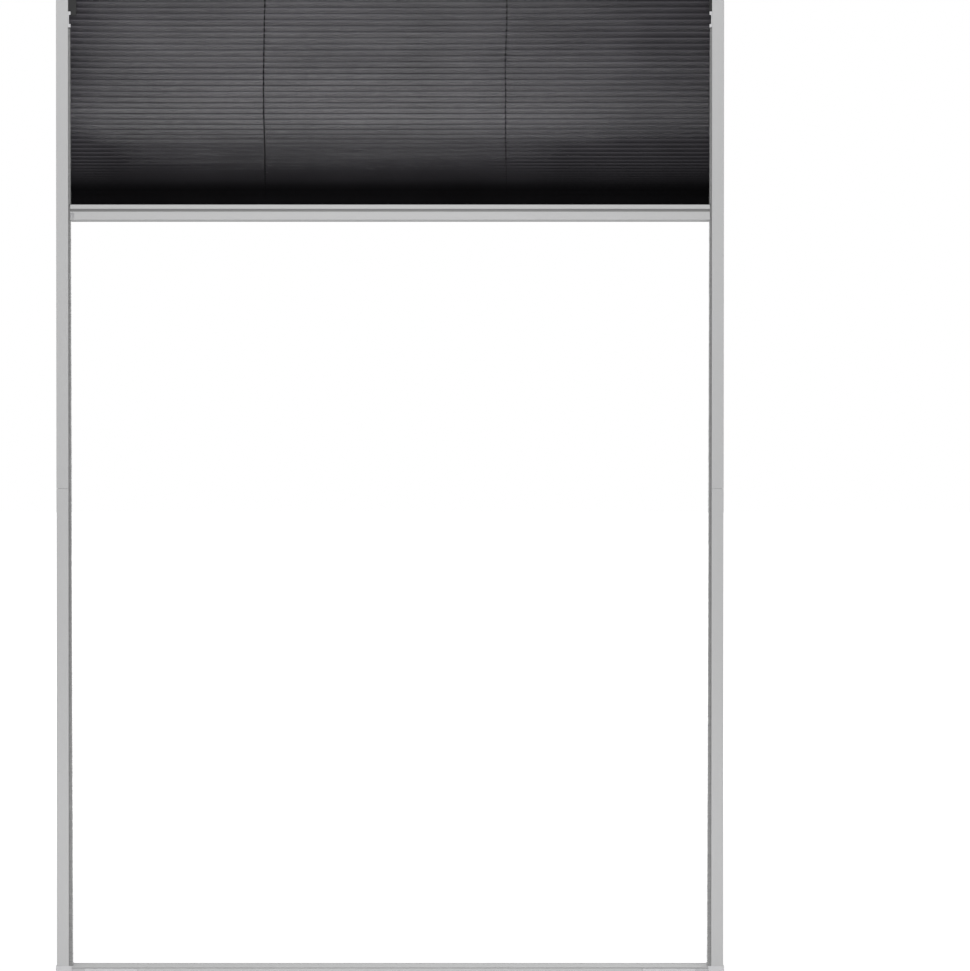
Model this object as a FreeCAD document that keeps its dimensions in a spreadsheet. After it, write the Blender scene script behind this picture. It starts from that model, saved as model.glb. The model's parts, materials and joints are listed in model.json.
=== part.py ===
"""A pleated insect screen for a window, in its aluminium frame.

The origin is the centre of the back face, which lies against the window. +X is to the
right, +Z up, and the front looks along -Y, so the frame fills Y from -frame_depth to 0. The
pleated mesh hangs from the top rail, and the pull bar at its foot slides in the side rails.
Two taut cords run down through the pleats, cross inside the bar and leave at its far ends.
"""

import FreeCAD, Part
import math
import operator
import os
import Sketcher

from FreeCAD import Placement, Rotation, Vector

DRIVING_SIZES = {
    "frame_width": (800, "overall width of the rails"),
    "frame_height": (1200, "overall height of the rails"),
    "frame_depth": (24, "front face to back face"),
    "wall": (1.4, "wall of every aluminium profile"),
    "edge_round": (0.6, "rounding of the profiles' long outer edges"),
    "face_width": (14.4, "front and back flange of a side rail"),
    "rail_height": (18, "height of the top rail"),
    "rail_step": (0.6, "top rail's steps over the corner blocks, below the blocks"),
    "sill_face": (11.3, "bottom rail's front, up to its groove"),
    "sill_groove": (0.8, "height and depth of that groove"),
    "sill_plate": (0.8, "plate over the groove"),
    "sill_rim": (0.4, "rim along the plate's back edge"),
    "joint_height": (-12.5, "where the halves of a side rail meet, above the centre"),
    "joint_gap": (0.3, "gap between those halves"),
    "joiner_length": (120, "angle that bridges the joint"),
    "joiner_thickness": (2, "thickness of its two legs"),
    "screw_hole_radius": (2.1, "wall screws, one hole in each half of a side rail"),
    "screw_hole_inset": (200, "their distance from the frame's ends"),
    "rib_height": (1.0, "ribs inside the profiles"),
    "rib_width": (0.8, "their thickness"),
    "seal_seat": (10, "outer edge of a rail to the rib that locates its brush seal"),
    "seal_width": (5.8, "brush seal across the rail"),
    "seal_thickness": (1.7, "brush seal from its flange towards the mesh"),
    "seal_stop": (42.2, "top rail's lower edge to the upper end of the seals"),
    "seal_clip_height": (19, "clip above each front seal"),
    "seal_clip_thickness": (0.8, "its thickness"),
    "seal_clip_ear": (4, "its two ears"),
    "seal_clip_reach": (1.4, "how far the ears stand past the seal"),
    "seal_clip_waist": (0.5, "how far its middle stays behind the seal's edge"),
    "corner_width": (17.8, "corner block inwards from the rail's outer edge"),
    "corner_height": (14, "corner block from the frame's end"),
    "corner_proud": (1.2, "how far the block stands out at the sides and the end"),
    "corner_front": (0.4, "how far it stands out at the front"),
    "leg_length": (34, "legs of the corner blocks inside the rails"),
    "leg_thickness": (3.4, "thickness of those legs"),
    "leg_depth": (6, "leg in a top or bottom rail, front to back"),
    "leg_inset": (2, "vertical leg's distance from the front and the back"),
    "corner_screw_radius": (1.3, "shank of the screw through each side rail"),
    "corner_screw_head": (2.7, "radius of its countersunk head"),
    "head_strip_height": (2.4, "strip that carries the mesh in the top rail"),
    "head_room": (0.6, "from the cords' anchors up to the top rail's wall"),
    "head_clip_width": (12, "black clip at each upper corner of the mesh"),
    "head_clip_thickness": (0.7, "its thickness"),
    "head_clip_drop": (28.1, "how far its blade hangs below the top rail"),
    "head_clip_hook": (6, "width of its hook on the strip"),
    "head_clip_left": (12, "left blade's outer edge from the frame's side"),
    "head_clip_right": (5.5, "right blade's outer edge from the frame's side"),
    "mesh_edge": (12, "edges of the pleated mesh from the frame's sides"),
    "mesh_drop": (264.6, "mesh from the head strip down to the bar, as the screen hangs"),
    "mesh_gap": (0.9, "front folds to the front seals, and the same at the back"),
    "mesh_thickness": (1.2, "one layer of mesh, measured front to back"),
    "mesh_cord_slot": (2.6, "square holes in the pleats for the cords"),
    "bar_end_gap": (0.5, "pull bar's ends to the brush seals"),
    "bar_setback": (2.5, "pull bar behind the frame's front, and before its back"),
    "bar_height": (19, "pull bar's profile, bottom to top"),
    "bar_band": (10.6, "broad lower band of its front"),
    "bar_groove_height": (3.4, "groove above the band"),
    "bar_groove_depth": (3.4, "depth of that groove"),
    "bar_bevel": (1.2, "bevel of the lower edges"),
    "bar_slot_length": (4.8, "slot in the band's left end"),
    "bar_slot_height": (6.6, "its height"),
    "bar_slot_bottom": (2.4, "its distance from the bar's lower edge"),
    "foot_strip_height": (3.8, "strip that carries the mesh in the bar"),
    "tongue_gap": (0.7, "end cap's tongue to the corner's leg in the side rail"),
    "tongue_depth": (10, "tongue front to back"),
    "tongue_step": (3.2, "bar's upper edge down to the tongue's"),
    "plug_length": (13, "end cap's plug inside the bar"),
    "cord_radius": (0.7, "guide cords"),
    "cord_bend": (4.5, "radius of every turn of a cord"),
    "cord_left": (150, "left cord's distance from the centre"),
    "cord_right": (140, "right cord's distance from the centre"),
    "cord_spread": (4, "between the two cords, front to back"),
    "cord_channel": (9, "outer edge of a rail to the cord inside it"),
    "cord_tail": (30, "cord inside its tensioner"),
    "duct_clearance": (0.4, "round a cord in a moulded piece"),
    "eyelet_radius": (1.95, "bush for each cord in the bar"),
    "eyelet_flange": (3, "its flange"),
    "eyelet_flange_height": (0.5, "that flange's thickness"),
    "anchor_radius": (2.6, "bead that holds each cord's upper end"),
    "anchor_height": (3.2, "its height"),
    "cover_length": (63.6, "snap-in cover over each cord tensioner"),
    "lock_length": (15, "tensioner's lock between cover and corner"),
    "lock_recess": (0.4, "how far the lock's face lies back"),
    "tensioner_gap": (0.5, "tensioner to the corner's leg behind it"),
    "panel_margin": (1.6, "rail left below the cover"),
    "seam": (0.15, "gap round parts that snap in"),
    "fit_clearance": (0.1, "gap round parts that slide in"),
}
MESH_PLEATS = 58
PACKED_SHARE = 0.16  # pitch of the pleats that lie on the bar, as a share of the open ones'
PACKING_PLEAT = 32  # the pleat, counted from the top, where open turns to packed
PACKING_SPREAD = 5.5  # over how many pleats it turns
LEFT, RIGHT = -1, 1
SIDES = {"left": LEFT, "right": RIGHT}
OPERATIONS = {"+": operator.add, "-": operator.sub, "*": operator.mul, "/": operator.truediv}

doc = FreeCAD.newDocument("PleatedScreen")
sheet = doc.addObject("Spreadsheet::Sheet", "Sizes")
nodes = []


class Size:
    """A length that knows its number and the sheet expression that gives it."""

    def __init__(self, number, text):
        self.number = number
        self.text = text

    def join(self, sign, other):
        number = OPERATIONS[sign](self.number, other.number)
        return Size(number, f"({self.text} {sign} {other.text})")

    def __add__(self, other):
        return self.join("+", sized(other))

    def __radd__(self, other):
        return sized(other).join("+", self)

    def __sub__(self, other):
        return self.join("-", sized(other))

    def __rsub__(self, other):
        return sized(other).join("-", self)

    def __mul__(self, other):
        return self.join("*", sized(other))

    def __rmul__(self, other):
        return sized(other).join("*", self)

    def __truediv__(self, other):
        return self.join("/", sized(other))

    def __neg__(self):
        return sized(0) - self


def sized(value):
    """A plain number as a Size; a Size stays as it is."""
    return value if isinstance(value, Size) else Size(float(value), f"{value:g}")


def fill_sheet():
    """Writes each driving size with its alias and meaning, and returns them as Sizes."""
    for row, (name, (value, meaning)) in enumerate(DRIVING_SIZES.items(), start=1):
        sheet.set(f"A{row}", name)
        sheet.set(f"B{row}", str(value))
        sheet.set(f"C{row}", meaning)
        sheet.setAlias(f"B{row}", name)
    doc.recompute()
    return {name: Size(float(sheet.get(name)), f"Sizes.{name}") for name in DRIVING_SIZES}


def bind(thing, name, size):
    thing.setExpression(name, sized(size).text)


def place(thing, x, y, z, turn=None):
    """Turns a thing, then binds where its own origin goes."""
    if turn is not None:
        thing.Placement = Placement(Vector(), turn)
    for axis, size in zip("xyz", (x, y, z)):
        bind(thing, f"Placement.Base.{axis}", size)
    return thing


def finished(thing, label):
    """Names a sub-part and puts it on the list of nodes."""
    thing.Label = label
    nodes.append(thing)
    return thing


def across(side, near, far):
    """The low and high X of a span that lies from near to far of the centre, on one side."""
    return (near, far) if side == RIGHT else (-far, -near)


def up_or_down(end, near, far):
    """The same for Z: end is 1 at the top of the frame and -1 at its foot."""
    return (near, far) if end > 0 else (-far, -near)


def box(name, x, y, z):
    """A box from pairs of low and high places along X, Y and Z."""
    solid = doc.addObject("Part::Box", name)
    for length, (low, high) in zip(("Length", "Width", "Height"), (x, y, z)):
        bind(solid, length, high - low)
    return place(solid, x[0], y[0], z[0])


def rod(name, radius, length, x, y, z, turn=None):
    """A cylinder that starts at a place and runs along +Z, or along a turned Z."""
    solid = doc.addObject("Part::Cylinder", name)
    bind(solid, "Radius", radius)
    bind(solid, "Height", length)
    return place(solid, x, y, z, turn)


def along_x(side):
    """The turn that lays +Z along +X or -X."""
    return Rotation(Vector(0, 1, 0), 90 * side)


def fused(name, solids):
    union = doc.addObject("Part::MultiFuse", name)
    union.Shapes = solids
    union.Refine = True
    return union


def cut(name, base, tools):
    tool = tools[0] if len(tools) == 1 else fused(f"{name}_tools", tools)
    result = doc.addObject("Part::Cut", name)
    result.Base, result.Tool = base, tool
    return result


def closed_sketch(body, plane, loops):
    """A sketch of closed outlines, with each corner held by the sheet."""
    sketch = body.newObject("Sketcher::SketchObject", f"{body.Name}_section")
    origin = next(o for o in body.Origin.OriginFeatures if o.Role == plane)
    sketch.AttachmentSupport = [(origin, "")]
    sketch.MapMode = "FlatFace"
    held = []
    for loop in loops:
        points = [Vector(x.number, y.number, 0) for x, y in loop]
        first = sketch.GeometryCount
        count = len(points)
        for i in range(count):
            sketch.addGeometry(Part.LineSegment(points[i], points[(i + 1) % count]))
        for i in range(count):
            line, after = first + i, first + (i + 1) % count
            meet = Sketcher.Constraint("Coincident", line, 2, after, 1)
            sketch.addConstraint(meet)
        for i, corner in enumerate(loop):
            for kind, axis, size in zip(("DistanceX", "DistanceY"), (-2, -1), corner):
                if size.number == 0:
                    on_axis = Sketcher.Constraint("PointOnObject", first + i, 1, axis)
                    sketch.addConstraint(on_axis)
                    continue
                rule = Sketcher.Constraint(kind, -1, 1, first + i, 1, size.number)
                held.append((sketch.addConstraint(rule), size))
    for index, size in held:
        bind(sketch, f"Constraints[{index}]", size)
    return sketch


def extrusion(name, plane, loops, length, rounded, round_size):
    """A profile: its section padded to length, with the named corners rounded along it."""
    body = doc.addObject("PartDesign::Body", name)
    sketch = closed_sketch(body, plane, loops)
    pad = body.newObject("PartDesign::Pad", f"{name}_pad")
    pad.Profile = sketch
    bind(pad, "Length", length)
    doc.recompute()
    if rounded:
        fillet = body.newObject("PartDesign::Fillet", f"{name}_rounding")
        fillet.Base = (pad, edges_along(pad.Shape, plane, rounded))
        bind(fillet, "Radius", round_size)
    return body


def edges_along(shape, plane, corners):
    """The names of the pad's long edges that pass through these corners of its section."""
    flat = {"XY_Plane": (0, 1), "YZ_Plane": (1, 2)}[plane]
    found = []
    for number, edge in enumerate(shape.Edges, start=1):
        ends = [tuple(v.Point[i] for i in flat) for v in edge.Vertexes]
        for x, y in corners:
            near = [math.dist(end, (x.number, y.number)) < 1e-6 for end in ends]
            if len(ends) == 2 and all(near):
                found.append(f"Edge{number}")
    return found


def points(*pairs):
    return [(sized(x), sized(y)) for x, y in pairs]


def mirrored(half, depth):
    """A section symmetrical front to back: a chain of corners, then its mirror image."""
    return half + [(depth - x, y) for x, y in reversed(half)]


S = fill_sheet()
width, height, depth, wall = (S[n] for n in ("frame_width", "frame_height", "frame_depth", "wall"))
half_width, half_height, mid_depth = width / 2, height / 2, depth / 2
through = (-depth, sized(0))
flange_edge = half_width - S["face_width"]
block_edge = half_width - S["corner_width"]
block_end = half_height - S["corner_height"]
rail_edge = half_height - S["rail_height"]
step_edge = block_end - S["rail_step"]
sill_face = S["sill_face"]
seal_outer = half_width - S["seal_seat"] - S["fit_clearance"]
seal_inner = seal_outer - S["seal_width"]
seal_top = rail_edge - S["seal_stop"]
leg_outer = half_width - wall - S["fit_clearance"]
leg_inner = leg_outer - S["leg_thickness"]
strip_top = half_height - wall - S["head_room"] - S["anchor_height"]
strip_bottom = strip_top - S["head_strip_height"]
bar_end = seal_inner - S["bar_end_gap"]
bar_front = S["bar_setback"] - depth
bar_depth = depth - 2 * S["bar_setback"]
bar_top = strip_bottom - S["mesh_drop"]
bar_bottom = bar_top - S["bar_height"]
bar_floor = S["bar_height"] - S["foot_strip_height"]
tongue_end = leg_inner - S["tongue_gap"]
cord_out = half_width - S["cord_channel"]
cord_run = bar_bottom + S["bar_band"] / 2
cord_tail = -half_height + sill_face / 2
duct = S["cord_radius"] + S["duct_clearance"]
cords = {
    "left": {"side": LEFT, "x": -S["cord_left"], "y": -mid_depth - S["cord_spread"] / 2},
    "right": {"side": RIGHT, "x": S["cord_right"], "y": -mid_depth + S["cord_spread"] / 2},
}


def cord_at(side):
    """The cord whose lower run goes down this side: it comes from the other side."""
    return cords["left" if side == RIGHT else "right"]


def side_rail_section():
    """A channel open towards the mesh, with a rib on each flange for a brush seal."""
    face, seat, rib = S["face_width"], S["seal_seat"], S["rib_height"]
    rib_start = seat - S["rib_width"]
    front = points(
        (0, 0), (face, 0), (face, wall), (seat, wall), (seat, wall + rib),
        (rib_start, wall + rib), (rib_start, wall), (wall, wall),
    )
    return front + [(x, depth - y) for x, y in reversed(front)]


def side_rail(label, side, low, high, hole_height):
    """One half of a side rail, with its wall-screw hole."""
    section = side_rail_section()
    outer = [section[i] for i in (0, 1, -2, -1)]
    name = f"{label}_profile"
    body = extrusion(name, "XY_Plane", [section], high - low, outer, S["edge_round"])
    if side == LEFT:
        place(body, -half_width, -depth, low)
    else:
        place(body, half_width, 0, low, Rotation(Vector(0, 0, 1), 180))
    reach = 2 * wall
    start = side * (half_width - reach)
    hole = rod(
        f"{label}_hole", S["screw_hole_radius"], 2 * reach, start, -mid_depth,
        hole_height, along_x(side),
    )
    end = 1 if hole_height.number > 0 else -1
    screw = corner_screw(f"{label}_countersink", side, end)
    return finished(cut(label, body, [hole, screw]), label)


def corner_screw(name, side, end):
    """A countersunk screw from the outside through a side rail into the corner's leg."""
    z = end * (block_end - S["leg_length"] / 2)
    head = doc.addObject("Part::Cone", f"{name}_head")
    bind(head, "Radius1", S["corner_screw_head"])
    bind(head, "Radius2", S["corner_screw_radius"])
    bind(head, "Height", wall)
    place(head, side * half_width, -mid_depth, z, along_x(-side))
    shank_length = wall + S["leg_thickness"]
    shank = rod(
        f"{name}_shank", S["corner_screw_radius"], shank_length, side * half_width,
        -mid_depth, z, along_x(-side),
    )
    return fused(name, [head, shank])


def joiner(label, side):
    """The angle inside a side rail that keeps its two halves in line."""
    outer = half_width - wall
    half = S["joiner_length"] / 2
    z = (S["joint_height"] - half, S["joint_height"] + half)
    front, thick = wall - depth, S["joiner_thickness"]
    leg = box(f"{label}_side", across(side, outer - thick, outer), (front, -wall - thick), z)
    rib_edge = half_width - S["seal_seat"] + S["rib_width"] + S["fit_clearance"]
    face = box(f"{label}_front", across(side, rib_edge, outer), (front, front + thick), z)
    return finished(fused(label, [leg, face]), label)


def corner(label, side, end):
    """A moulded corner: a block between the rails, and a leg in each of them."""
    block = box(
        f"{label}_block",
        across(side, block_edge, half_width + S["corner_proud"]),
        (-depth - S["corner_front"], sized(0)),
        up_or_down(end, block_end, half_height + S["corner_proud"]),
    )
    rounded = doc.addObject("Part::Fillet", f"{label}_rounded")
    rounded.Base = block
    doc.recompute()
    outer = side * (half_width + S["corner_proud"]).number
    far = end * (half_height + S["corner_proud"]).number
    front = -(depth + S["corner_front"]).number
    radius = S["edge_round"].number
    rounded.Edges = [
        (number, radius, radius)
        for number, edge in enumerate(block.Shape.Edges, start=1)
        if shared_faces(edge, outer, front, far) >= 2
    ]
    upright = box(
        f"{label}_upright",
        across(side, leg_inner, leg_outer),
        (-depth + S["leg_inset"], -S["leg_inset"]),
        up_or_down(end, block_end - S["leg_length"], block_end),
    )
    leg_far = half_height - wall - S["fit_clearance"]
    flat = box(
        f"{label}_flat",
        across(side, block_edge - S["leg_length"], block_edge),
        (-wall - S["fit_clearance"] - S["leg_depth"], -wall - S["fit_clearance"]),
        up_or_down(end, leg_far - S["leg_thickness"], leg_far),
    )
    body = fused(f"{label}_body", [rounded, upright, flat])
    tools = [corner_screw(f"{label}_screw_hole", side, end)]
    if end < 0:
        tools += corner_duct(label, side)
    return finished(cut(label, body, tools), label)


def shared_faces(edge, outer, front, far):
    """On how many of the corner block's three outer faces an edge lies."""
    room = edge.BoundBox
    spans = ((room.XMin, room.XMax, outer), (room.YMin, room.YMax, front), (room.ZMin, room.ZMax, far))
    return sum(abs(low - at) < 1e-6 and abs(high - at) < 1e-6 for low, high, at in spans)


def corner_duct(label, side):
    """The way through a lower corner, from the rail's channel to the tensioner."""
    y = cord_at(side)["y"]
    span = (y - duct, y + duct)
    bend_edge = cord_out - S["cord_bend"] - duct
    floor = cord_tail - duct
    shaft = box(
        f"{label}_shaft", across(side, bend_edge, cord_out + duct), span, (floor, -block_end + wall)
    )
    adit = box(
        f"{label}_adit", across(side, block_edge - wall, bend_edge), span, (floor, cord_tail + duct)
    )
    return [shaft, adit]


def bottom_rail():
    """A hollow sill between the corners, open at the front for the two tensioners."""
    groove, rim = S["sill_groove"], S["sill_rim"]
    plate_low = sill_face + groove
    top = plate_low + S["sill_plate"]
    outline = points(
        (0, 0), (0, sill_face), (groove, sill_face), (groove, plate_low), (0, plate_low),
        (0, top), (depth - wall, top), (depth - wall, top + rim), (depth, top + rim), (depth, 0),
    )
    chamber = mirrored(points((wall, wall), (wall, sill_face - wall)), depth)
    corners = [outline[i] for i in (0, -1)]
    body = extrusion(
        "bottom_rail_profile", "YZ_Plane", [outline, chamber], 2 * block_edge, corners,
        S["edge_round"],
    )
    place(body, -block_edge, -depth, -half_height)
    windows = []
    for word, side in SIDES.items():
        x = across(side, cover_inner(), half_width)
        y = (-depth - wall, -depth + wall)
        windows.append(box(f"bottom_window_{word}", x, y, panel_span(0)))
    return finished(cut("bottom_rail", body, windows), "bottom_rail")


def cover_inner():
    """Where the rail's front opening for a tensioner begins, from the centre."""
    return block_edge - S["lock_length"] - S["cover_length"] - 3 * S["seam"]


def panel_span(gap):
    """The height of that opening, or of what fills it with a gap all round."""
    return (-half_height + S["panel_margin"] + gap, -half_height + sill_face - gap)


def top_rail():
    """A channel open downwards, with two ribs that carry the mesh's head strip."""
    top, rib, seat = S["rail_height"], S["rib_height"], strip_bottom - rail_edge
    section = mirrored(
        points(
            (0, top), (0, 0), (wall, 0), (wall, seat - S["rib_width"]),
            (wall + rib, seat - S["rib_width"]), (wall + rib, seat), (wall, seat),
            (wall, top - wall),
        ),
        depth,
    )
    corners = [section[i] for i in (0, 1, -2, -1)]
    body = extrusion(
        "top_rail_profile", "YZ_Plane", [section], 2 * flange_edge, corners, S["edge_round"]
    )
    place(body, -flange_edge, -depth, rail_edge)
    notches = [
        box(
            f"top_notch_{word}",
            across(side, block_edge, half_width),
            (-depth - wall, wall),
            (step_edge, half_height + wall),
        )
        for word, side in SIDES.items()
    ]
    return finished(cut("top_rail", body, notches), "top_rail")


def brush_seal(label, side, front):
    """The pile strip glued to a flange, which closes the gap beside the mesh."""
    near = depth - wall - S["seal_thickness"]
    y = (-(depth - wall), -near) if front else (-(wall + S["seal_thickness"]), -wall)
    low = -block_end + S["fit_clearance"]
    x = across(side, seal_inner, seal_outer)
    return finished(box(label, x, y, (low, seal_top)), label)


def seal_clip(label, side):
    """The clip that stops a front seal's upper end: two ears and a waist."""
    y = (-(depth - wall), -(depth - wall) + S["seal_clip_thickness"])
    low = seal_top + S["fit_clearance"]
    high = low + S["seal_clip_height"]
    ear = S["seal_clip_ear"]
    x = across(side, seal_inner - S["seal_clip_reach"], seal_outer)
    waist = across(side, seal_inner + S["seal_clip_waist"], seal_outer)
    pieces = [
        box(f"{label}_lower_ear", x, y, (low, low + ear)),
        box(f"{label}_waist", waist, y, (low, high)),
        box(f"{label}_upper_ear", x, y, (high - ear, high)),
    ]
    return finished(fused(label, pieces), label)


def cord_holes(name, radius, bottom, length):
    return [
        rod(f"{name}_{word}", radius, length, cord["x"], cord["y"], bottom)
        for word, cord in cords.items()
    ]


def head_strip():
    """The strip on the top rail's ribs that the mesh is bonded to."""
    inset = wall + 2 * S["fit_clearance"]
    end = block_edge - 6 * S["fit_clearance"]
    bar = box("head_strip_bar", (-end, end), (-depth + inset, -inset), (strip_bottom, strip_top))
    holes = cord_holes("head_strip_hole", duct, strip_bottom, S["head_strip_height"])
    return finished(cut("mesh_head_strip", bar, holes), "mesh_head_strip")


def head_clip(label, side, inset):
    """The black clip that holds an upper corner of the mesh: hook, bridge and blade."""
    outer = half_width - inset
    hook_edge = block_edge - 2 * S["fit_clearance"]
    hook = hook_edge - S["head_clip_hook"]
    near = depth - wall - S["rib_height"] - S["fit_clearance"]
    y = (-near, -near + S["head_clip_thickness"])
    blade_low = rail_edge - S["head_clip_drop"]
    inner = outer - S["head_clip_width"]
    pieces = [
        box(f"{label}_hook", across(side, hook, hook_edge), y, (rail_edge, strip_bottom)),
        box(f"{label}_bridge", across(side, hook, outer), y, (rail_edge, step_edge)),
        box(f"{label}_blade", across(side, inner, outer), y, (blade_low, step_edge)),
    ]
    return finished(fused(label, pieces), label)


def fold_heights():
    """Where the mesh folds, from the head strip down: open pleats, then packed ones."""
    pitches = [
        PACKED_SHARE + (1 - PACKED_SHARE) / (1 + math.exp((k + 0.5 - PACKING_PLEAT) / PACKING_SPREAD))
        for k in range(MESH_PLEATS)
    ]
    drop = S["mesh_drop"].number
    half_pitches = [p * drop / sum(pitches) / 2 for p in pitches for _ in range(2)]
    heights = [strip_bottom.number]
    for step in half_pitches:
        heights.append(heights[-1] - step)
    heights[-1] = bar_top.number
    return heights


def pleated_mesh():
    """One closed zigzag wall, with square holes for the cords and its upper corners cut."""
    thick = S["mesh_thickness"].number / 2
    reach = (mid_depth - wall - S["seal_thickness"] - S["mesh_gap"]).number - thick
    middle = -mid_depth.number
    edge = (half_width - S["mesh_edge"]).number
    line = [(middle + (reach if i % 2 else -reach), z) for i, z in enumerate(fold_heights())]
    line[0] = (middle, line[0][1])
    line[-1] = (middle, line[-1][1])
    front = [Vector(-edge, y - thick, z) for y, z in line]
    back = [Vector(-edge, y + thick, z) for y, z in reversed(line)]
    outline = Part.makePolygon(front + back + front[:1])
    zigzag = doc.addObject("Part::Feature", "mesh_zigzag")
    zigzag.Shape = Part.Face(outline).extrude(Vector(2 * edge, 0, 0))
    slot = S["mesh_cord_slot"] / 2
    span = (bar_top - wall, strip_bottom + wall)
    tools = [
        box(
            f"mesh_slot_{word}",
            (cord["x"] - slot, cord["x"] + slot),
            (cord["y"] - slot, cord["y"] + slot),
            span,
        )
        for word, cord in cords.items()
    ]
    corner_low = step_edge - S["fit_clearance"]
    for word, side in SIDES.items():
        x = across(side, block_edge - 4 * S["fit_clearance"], half_width)
        tools.append(box(f"mesh_corner_{word}", x, through, (corner_low, half_height)))
    return finished(cut("pleated_mesh", zigzag, tools), "pleated_mesh")


def pull_bar():
    """The bar's hollow profile: a broad band, a groove, and a trough for the foot strip."""
    band, groove, bevel = S["bar_band"], S["bar_groove_depth"], S["bar_bevel"]
    groove_top, top = band + S["bar_groove_height"], S["bar_height"]
    outline = mirrored(
        points(
            (bevel, 0), (0, bevel), (0, band), (groove, band), (groove, groove_top),
            (0, groove_top), (0, top), (wall, top), (wall, bar_floor),
        ),
        bar_depth,
    )
    chamber = mirrored(points((wall, wall), (wall, band - wall)), bar_depth)
    inner = groove + wall
    second = mirrored(points((inner, band), (inner, bar_floor - wall)), bar_depth)
    body = extrusion(
        "pull_bar_section", "YZ_Plane", [outline, chamber, second], 2 * bar_end, [], 0
    )
    place(body, -bar_end, bar_front, bar_bottom)
    drill = S["bar_height"] - band + wall + wall
    start = bar_bottom + band - wall - wall
    tools = cord_holes("bar_hole", S["eyelet_radius"] + S["fit_clearance"] / 2, start, drill)
    slot_low = bar_bottom + S["bar_slot_bottom"]
    tools.append(
        box(
            "bar_slot",
            (-bar_end - wall, -bar_end + S["bar_slot_length"]),
            (bar_front - wall, bar_front + wall),
            (slot_low, slot_low + S["bar_slot_height"]),
        )
    )
    return finished(cut("pull_bar_profile", body, tools), "pull_bar_profile")


def foot_strip():
    """The strip in the bar's trough that the mesh is bonded to."""
    inset = wall + S["fit_clearance"]
    y = (bar_front + inset, bar_front + bar_depth - inset)
    end = bar_end - 2 * S["fit_clearance"]
    bar = box("foot_strip_bar", (-end, end), y, (bar_top - S["foot_strip_height"], bar_top))
    radius = S["eyelet_flange"] + S["duct_clearance"]
    low = bar_top - S["foot_strip_height"]
    holes = cord_holes("foot_strip_hole", radius, low, S["foot_strip_height"])
    return finished(cut("mesh_foot_strip", bar, holes), "mesh_foot_strip")


def end_cap(label, side):
    """The moulding in a bar end: its tongue runs in the side rail and turns the cord down."""
    y = cord_at(side)["y"]
    clear = wall + S["fit_clearance"]
    low = bar_bottom
    half_tongue = S["tongue_depth"] / 2
    plug = box(
        f"{label}_plug",
        across(side, bar_end - S["plug_length"], bar_end),
        (bar_front + clear, bar_front + bar_depth - clear),
        (low + clear, low + S["bar_band"] - clear),
    )
    tongue = box(
        f"{label}_tongue",
        across(side, bar_end, tongue_end),
        (-mid_depth - half_tongue, -mid_depth + half_tongue),
        (low, bar_top - S["tongue_step"]),
    )
    body = fused(f"{label}_body", [plug, tongue])
    span = (y - duct, y + duct)
    bend_edge = cord_out - S["cord_bend"] - duct
    top = cord_run + duct
    way = box(
        f"{label}_way", across(side, bar_end - S["plug_length"] - wall, bend_edge), span,
        (cord_run - duct, top),
    )
    turn = box(
        f"{label}_turn", across(side, bend_edge, cord_out + duct), span, (low - wall, top)
    )
    return finished(cut(label, body, [way, turn]), label)


def eyelet(label, cord):
    """The bush that leads a cord through the bar's two upper walls."""
    floor = bar_bottom + bar_floor
    low = bar_bottom + S["bar_band"] - wall
    barrel = rod(f"{label}_barrel", S["eyelet_radius"], floor - low, cord["x"], cord["y"], low)
    flange_height = S["eyelet_flange_height"]
    flange = rod(f"{label}_flange", S["eyelet_flange"], flange_height, cord["x"], cord["y"], floor)
    hole = rod(
        f"{label}_hole", duct, floor - low + flange_height, cord["x"], cord["y"], low
    )
    return finished(cut(label, fused(f"{label}_body", [barrel, flange]), [hole]), label)


def anchor(label, cord):
    """The bead that a cord's upper end is fixed in, on top of the head strip."""
    bead = rod(
        f"{label}_bead", S["anchor_radius"], S["anchor_height"], cord["x"], cord["y"], strip_top
    )
    hole = rod(
        f"{label}_hole", S["cord_radius"], S["anchor_height"], cord["x"], cord["y"], strip_top
    )
    return finished(cut(label, bead, [hole]), label)


def tensioner(label, side):
    """The clamp in the bottom rail that holds a cord's tail; its lock shows at the front."""
    y = cord_at(side)["y"]
    front = -(depth - wall)
    outer = block_edge - S["seam"]
    inside = (
        -half_height + wall + S["fit_clearance"],
        -half_height + sill_face - wall - S["fit_clearance"],
    )
    inner = outer - S["lock_length"] - S["cover_length"]
    back = -wall - S["fit_clearance"] - S["leg_depth"] - S["tensioner_gap"]
    clamp = box(f"{label}_clamp", across(side, inner, outer), (front, back), inside)
    lock = box(
        f"{label}_lock",
        across(side, outer - S["lock_length"], outer),
        (-depth + S["lock_recess"], front),
        panel_span(S["seam"]),
    )
    span = (y - duct, y + duct)
    way = box(
        f"{label}_way",
        across(side, outer - S["cord_tail"], outer),
        span,
        (cord_tail - duct, cord_tail + duct),
    )
    return finished(cut(label, fused(f"{label}_body", [clamp, lock]), [way]), label)


def cover(label, side):
    """The panel that snaps into the bottom rail's front, over a tensioner."""
    inner = cover_inner() + S["seam"]
    panel = box(
        label,
        across(side, inner, inner + S["cover_length"]),
        (-depth, -(depth - wall)),
        panel_span(S["seam"]),
    )
    return finished(panel, label)


def bend(name, x, y, z, quarter):
    """A quarter turn of cord round a centre, in the XZ plane: quarter 0 is from +X to +Z."""
    turn = doc.addObject("Part::Torus", name)
    bind(turn, "Radius1", S["cord_bend"])
    bind(turn, "Radius2", S["cord_radius"])
    turn.Angle3 = 90
    about_y = Rotation(Vector(1, 0, 0), 90) * Rotation(Vector(0, 0, 1), 90 * quarter)
    return place(turn, x, y, z, about_y)


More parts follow.
